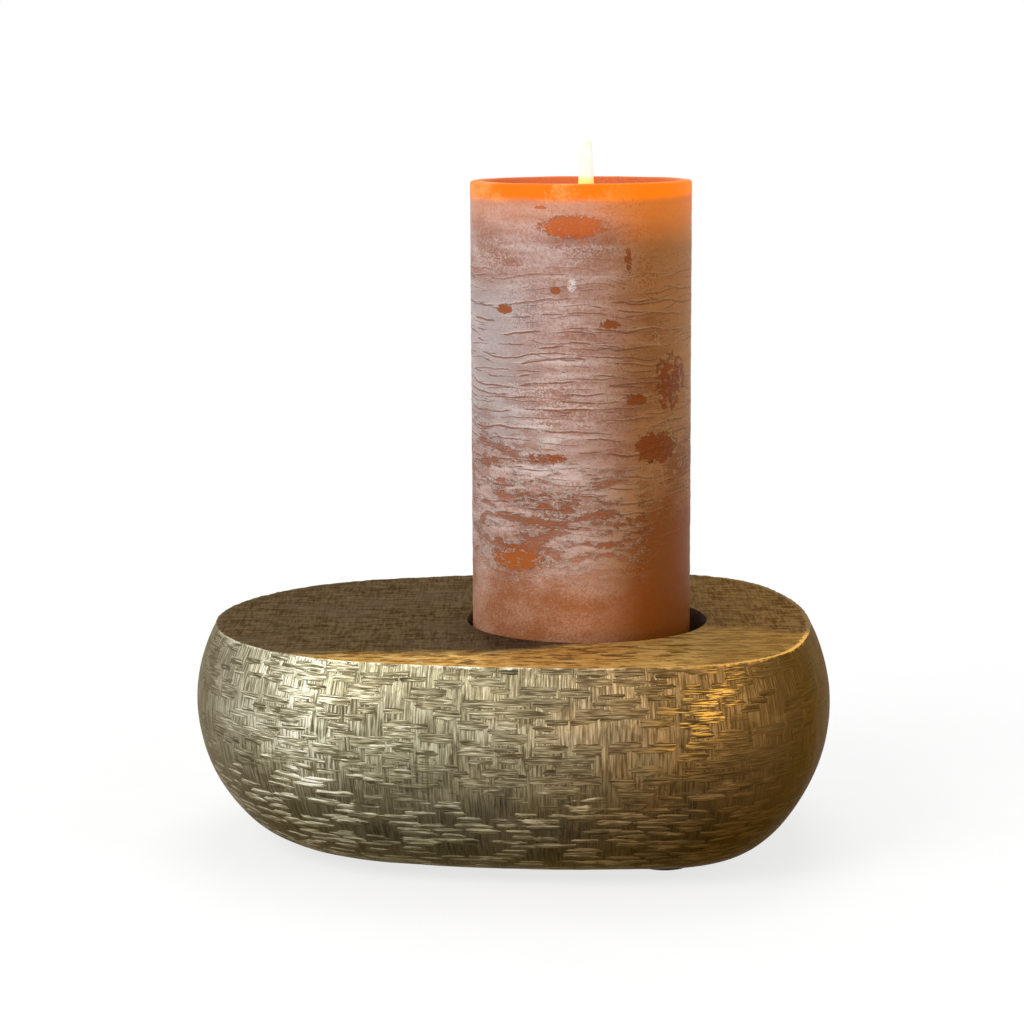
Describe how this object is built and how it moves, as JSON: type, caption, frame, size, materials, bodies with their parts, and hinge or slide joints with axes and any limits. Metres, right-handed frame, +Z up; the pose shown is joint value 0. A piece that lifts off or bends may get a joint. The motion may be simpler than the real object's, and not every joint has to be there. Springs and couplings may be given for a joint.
{
  "type": "pillar candle holder with light-up candle",
  "caption": "Low pebble-shaped cast metal candle holder with an off-centre round well, holding a wax pillar candle with a moulded light-up flame.",
  "frame": {"origin": "on the table plane under the middle of the holder's outline", "axes": "+X towards the blunt end where the candle stands, +Y away from the viewer, +Z up along the candle"},
  "size_m": [0.2042, 0.1678, 0.2241],
  "materials": {
    "antique_gold_metal": "antique champagne gold over cast aluminium, cut with short crossed strokes",
    "pad_rubber": "dull black",
    "frosted_wax": "frosted rust-brown wax",
    "flame_resin": "translucent warm white, lit",
    "white_moulding": "matte white",
    "case_moulding": "matte dark brown",
    "lamp_epoxy": "clear warm",
    "tinned_metal": "tinned",
    "red_insulation": "smooth red",
    "black_insulation": "smooth black",
    "screw_steel": "zinc plated",
    "cell_jacket": "plain dark jacket with bare ends",
    "plated_steel": "nickel plated spring steel",
    "board_laminate": "green laminate",
    "chip_resin": "black resin",
    "capacitor_can": "dark sleeve",
    "resistor_body": "buff lacquer",
    "switch_housing": "black",
    "knob_moulding": "off-white"
  },
  "bodies": {
    "holder": {"holder_casting": "antique_gold_metal", "foot_pad_back_right": "pad_rubber", "foot_pad_back_left": "pad_rubber", "foot_pad_front_right": "pad_rubber", "foot_pad_front_left": "pad_rubber"},
    "candle": {"wax_body": "frosted_wax", "flame_tip": "flame_resin", "battery_case": "case_moulding", "flame_socket": "white_moulding", "flicker_lamp": "lamp_epoxy", "lamp_legs": "tinned_metal", "red_wire": "red_insulation", "black_wire": "black_insulation", "case_cover": "case_moulding", "case_screws": "screw_steel", "battery_cell_left": "cell_jacket", "battery_cell_right": "cell_jacket", "positive_contact": "plated_steel", "negative_contact": "plated_steel", "contact_spring": "plated_steel", "circuit_board": "board_laminate", "timer_chip": "chip_resin", "capacitor": "capacitor_can", "lamp_resistor": "resistor_body", "slide_switch": "switch_housing"},
    "lid": {"battery_lid": "case_moulding", "bridge_contact": "plated_steel"},
    "switch": {"switch_knob": "knob_moulding"}
  },
  "joints": [
    {"name": "candle_lift", "type": "slide", "parent": "holder", "child": "candle", "axis": [0, 0, 1], "range_m": [0, 0.06]},
    {"name": "battery_lid_twist", "type": "hinge", "parent": "candle", "child": "lid", "pos_m": [0.0222, -0.0094, 0.0622], "axis": [0, 0, 1], "range_deg": [0, 30]},
    {"name": "switch_slide", "type": "slide", "parent": "candle", "child": "switch", "axis": [1, 0, 0], "range_m": [-0.002, 0.002]}
  ]
}
